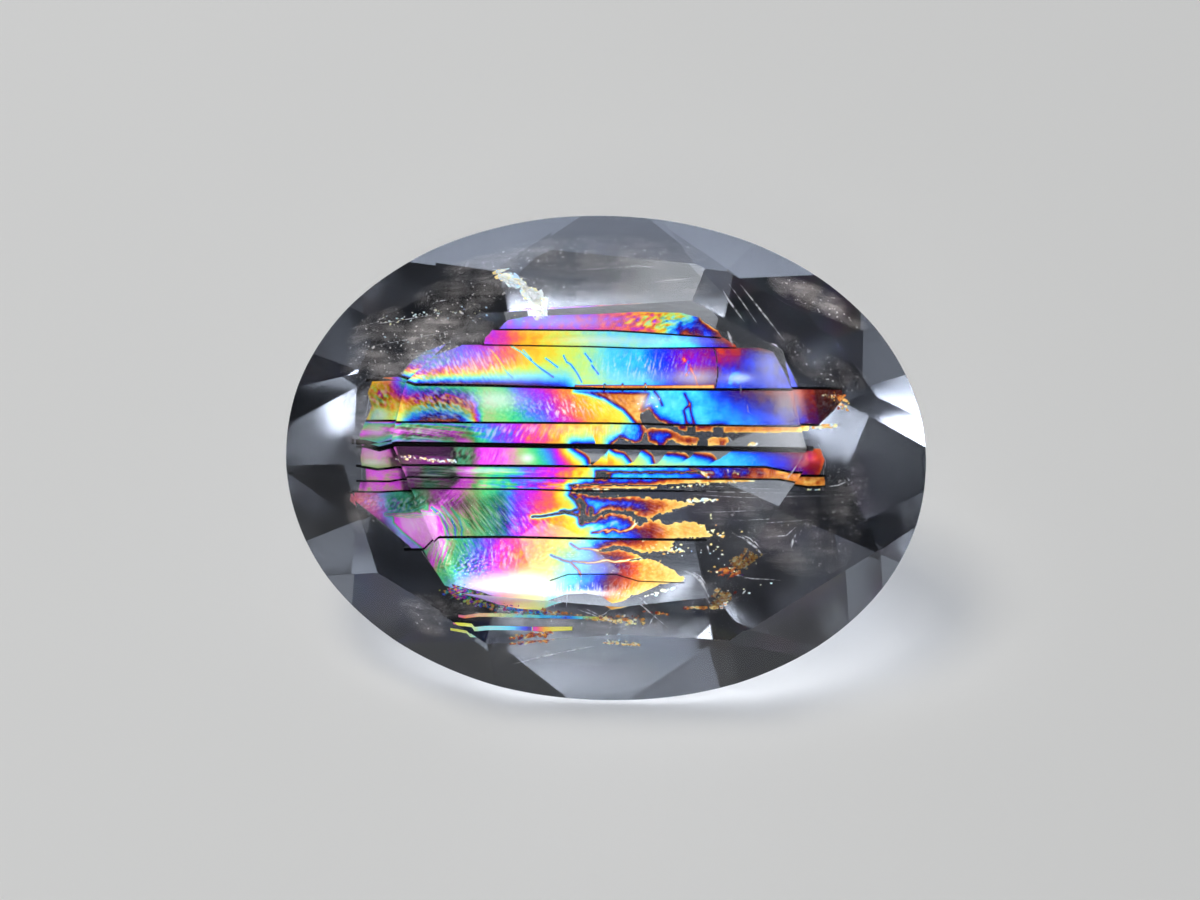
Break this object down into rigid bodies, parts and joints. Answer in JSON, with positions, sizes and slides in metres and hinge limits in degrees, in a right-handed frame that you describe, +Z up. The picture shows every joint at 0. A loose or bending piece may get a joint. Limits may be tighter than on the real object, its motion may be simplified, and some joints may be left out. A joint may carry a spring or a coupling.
{
  "type": "faceted moonstone",
  "caption": "Loose oval faceted moonstone, clear, with a flat table, stepped freehand crown and deep pavilion, and a stepped parting open inside it, lying on a pavilion facet.",
  "frame": {"origin": "centre of the stone's bounding box in plan, at the level of the facet it rests on", "axes": "+X along the oval's length, +Z up as the stone lies, and the table tips towards -Y, 42 degrees off level"},
  "size_m": [0.0092, 0.0052, 0.0049],
  "materials": {
    "clear_stone": "polished, transparent, nearly colourless feldspar, refractive index about 1.52"
  },
  "bodies": {
    "root": {"moonstone": "clear_stone"}
  },
  "joints": []
}
